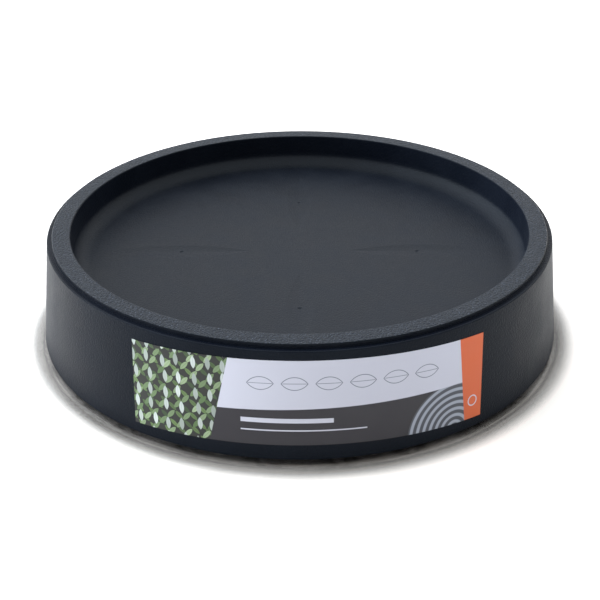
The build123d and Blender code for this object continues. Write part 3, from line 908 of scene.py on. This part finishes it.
# Ground: a plain pale floor. To the camera and in reflections it is as white as the backdrop apart from
# the caddy's shadow, which darkens towards the skirt's foot. To soft light it is a mid grey.
ground_reach = 12.0
shadow_reach = 18 * mm
shadow_black = (0.030, 0.027, 0.024, 1)
floor_white = (1.04, 0.94, 0.82, 1)
floor_grey = (0.46, 0.46, 0.47, 1)
floor_mesh = bpy.data.meshes.new("ground")
floor_corners = [(-1, -1, 0), (1, -1, 0), (1, 1, 0), (-1, 1, 0)]
floor_mesh.from_pydata((np.array(floor_corners) * ground_reach).tolist(), [], [(0, 1, 2, 3)])
ground = bpy.data.objects.new("ground", floor_mesh)
bpy.context.collection.objects.link(ground)
ground_paint = bpy.data.materials.new("ground_paint")
ground_paint.use_nodes = True
tree = ground_paint.node_tree
tree.nodes.clear()
ray = add_node(tree, "ShaderNodeLightPath").outputs
seen = maths(tree, "MAXIMUM", ray["Is Camera Ray"], ray["Is Transmission Ray"])
seen = maths(tree, "MAXIMUM", seen, ray["Is Glossy Ray"])
openness = add_node(tree, "ShaderNodeAmbientOcclusion", {"Distance": shadow_reach}, samples=8).outputs["AO"]
white = blend_colours(tree, ramp(tree, openness, 0.78, 0.97), shadow_black, floor_white)
paint = blend_colours(tree, seen, floor_grey, white)
matt = add_node(tree, "ShaderNodeBsdfDiffuse", {"Color": paint})
surface = add_node(tree, "ShaderNodeOutputMaterial")
tree.links.new(matt.outputs[0], surface.inputs["Surface"])
floor_mesh.materials.append(ground_paint)

# Light: soft panels of sky round the caddy, each a lobe that fades from its middle as the cosine of the
# angle to it, raised to a power. The brightest stand at the left, low down and half way up. The camera
# and reflections see a plain white backdrop in their place.
lobe_power = 10.0
cool = (0.87, 0.98, 1.14)
neutral = (1.05, 1.0, 0.92)
sky_lobes = {
    "low left behind": (-62, 8, 8.2, cool),
    "low left": (-92, 8, 9.8, cool),
    "high left behind": (-30, 55, 5.6, cool),
    "low right": (90, 8, 2.9, cool),
    "low right behind": (42, 8, 2.6, cool),
    "high in front": (180, 60, 1.2, neutral),
    "overhead": (0, 85, 3.2, cool),
}
world = bpy.data.worlds.new("studio")
bpy.context.scene.world = world
world.use_nodes = True
tree = world.node_tree
tree.nodes.clear()
direction = add_node(tree, "ShaderNodeTexCoord").outputs["Generated"]
sky = (0.0, 0.0, 0.0)
for azimuth, elevation, strength, colour in sky_lobes.values():
    turn, rise = np.radians(azimuth), np.radians(elevation)
    middle = (np.cos(rise) * np.sin(turn), np.cos(rise) * np.cos(turn), np.sin(rise))
    dot = add_node(tree, "ShaderNodeVectorMath", {0: direction, 1: middle}, operation="DOT_PRODUCT")
    cosine = dot.outputs["Value"]
    lobe = maths(tree, "POWER", maths(tree, "MAXIMUM", cosine, 0.0), lobe_power)
    panel_light = tuple(strength * part for part in colour)
    lit = add_node(tree, "ShaderNodeVectorMath", {0: panel_light, 3: lobe}, operation="SCALE").outputs[0]
    sky = add_node(tree, "ShaderNodeVectorMath", {0: lit, 1: sky}, operation="ADD").outputs[0]
ray = add_node(tree, "ShaderNodeLightPath").outputs
seen = maths(tree, "MAXIMUM", ray["Is Camera Ray"], ray["Is Transmission Ray"])
seen = maths(tree, "MAXIMUM", seen, ray["Is Glossy Ray"])
seen_sky = blend_colours(tree, seen, sky, (1, 1, 1, 1))
background = add_node(tree, "ShaderNodeBackground", {"Color": seen_sky, "Strength": 1.0})
output = add_node(tree, "ShaderNodeOutputWorld")
tree.links.new(background.outputs[0], output.inputs["Surface"])

# Camera: where the photograph was taken from, as fitted to the rim's and the skirt's curves
camera_in_front = 887.6 * mm
camera_over_rim = 415.4 * mm
camera_pitch = np.radians(28.59)
camera_roll = np.radians(0.22)
camera_data = bpy.data.cameras.new("camera")
camera_data.sensor_width = 36
camera_data.lens = 78.34
camera_data.shift_x = 0.0004
camera = bpy.data.objects.new("camera", camera_data)
bpy.context.collection.objects.link(camera)
camera.rotation_mode = "ZXY"
camera.location = (0, -camera_in_front, rim_top + camera_over_rim)
camera.rotation_euler = (np.pi / 2 - camera_pitch, 0, -camera_roll)
bpy.context.scene.camera = camera
bpy.context.scene.view_settings.view_transform = "Standard"
